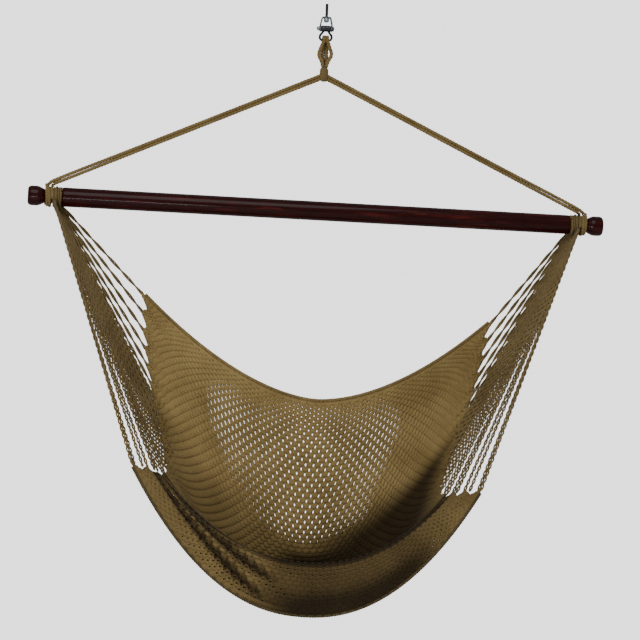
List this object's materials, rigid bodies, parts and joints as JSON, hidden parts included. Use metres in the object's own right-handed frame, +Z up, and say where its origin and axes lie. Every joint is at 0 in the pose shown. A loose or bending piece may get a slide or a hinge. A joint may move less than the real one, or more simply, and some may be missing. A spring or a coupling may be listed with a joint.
{
  "type": "rope hammock chair",
  "caption": "Hanging net chair: a turned wooden spreader bar on a doubled rope bridle and ceiling swivel carries a knotted rope net seat on fans of thin cord.",
  "frame": {"origin": "middle of the ceiling stud's flat top face, where the chair is held up", "axes": "+Z up along the stud, +X along the spreader bar to the right seen from the front, -Y towards the open front of the seat"},
  "size_m": [1.2, 0.196, 1.2689],
  "materials": {
    "tan_rope": "twisted and knotted olive-tan cord, dry and fibrous",
    "dark_wood": "dark mahogany stain under gloss varnish",
    "dark_steel": "blackened steel, slightly shiny",
    "zinc_steel": "bright zinc plate"
  },
  "bodies": {
    "ceiling_fixing": {"ceiling_stud": "dark_steel", "stud_washer": "zinc_steel", "stud_nut": "zinc_steel"},
    "swivel": {"swivel_yoke": "zinc_steel", "yoke_pin": "dark_steel", "pin_nut": "zinc_steel"},
    "eye": {"swivel_eye": "dark_steel"},
    "hanger": {"apex_seizing": "tan_rope", "spreader_bar": "dark_wood", "left_hanging_loop": "tan_rope", "left_bridle_rope_upper": "tan_rope", "left_bridle_rope_lower": "tan_rope", "left_hitch": "tan_rope", "right_hanging_loop": "tan_rope", "right_bridle_rope_upper": "tan_rope", "right_bridle_rope_lower": "tan_rope", "right_hitch": "tan_rope"},
    "seat": {"left_clew_loop": "tan_rope", "right_clew_loop": "tan_rope", "left_clew_cord_01": "tan_rope", "left_clew_cord_02": "tan_rope", "left_clew_cord_03": "tan_rope", "left_clew_cord_04": "tan_rope", "left_clew_cord_05": "tan_rope", "left_clew_cord_06": "tan_rope", "left_clew_cord_07": "tan_rope", "left_clew_cord_08": "tan_rope", "left_clew_cord_09": "tan_rope", "left_clew_cord_10": "tan_rope", "left_clew_cord_11": "tan_rope", "left_clew_cord_12": "tan_rope", "left_clew_cord_13": "tan_rope", "left_clew_cord_14": "tan_rope", "left_clew_cord_15": "tan_rope", "right_clew_cord_01": "tan_rope", "right_clew_cord_02": "tan_rope", "right_clew_cord_03": "tan_rope", "right_clew_cord_04": "tan_rope", "right_clew_cord_05": "tan_rope", "right_clew_cord_06": "tan_rope", "right_clew_cord_07": "tan_rope", "right_clew_cord_08": "tan_rope", "right_clew_cord_09": "tan_rope", "right_clew_cord_10": "tan_rope", "right_clew_cord_11": "tan_rope", "right_clew_cord_12": "tan_rope", "right_clew_cord_13": "tan_rope", "right_clew_cord_14": "tan_rope", "right_clew_cord_15": "tan_rope", "net": "tan_rope", "back_edge_cord": "tan_rope", "front_edge_cord": "tan_rope"}
  },
  "joints": [
    {"name": "swivel_turn", "type": "hinge", "parent": "ceiling_fixing", "child": "swivel", "pos_m": [0, 0, -0.03], "axis": [0, 0, 1], "continuous": true},
    {"name": "eye_swing", "type": "hinge", "parent": "swivel", "child": "eye", "pos_m": [0, 0, -0.052], "axis": [1, 0, 0], "range_deg": [-45, 45]},
    {"name": "side_swing", "type": "hinge", "parent": "eye", "child": "hanger", "pos_m": [0, 0, -0.077], "axis": [0, 1, 0], "range_deg": [-15, 15]},
    {"name": "seat_swing", "type": "hinge", "parent": "hanger", "child": "seat", "pos_m": [0, 0, -0.433], "axis": [1, 0, 0], "range_deg": [-40, 40]}
  ]
}
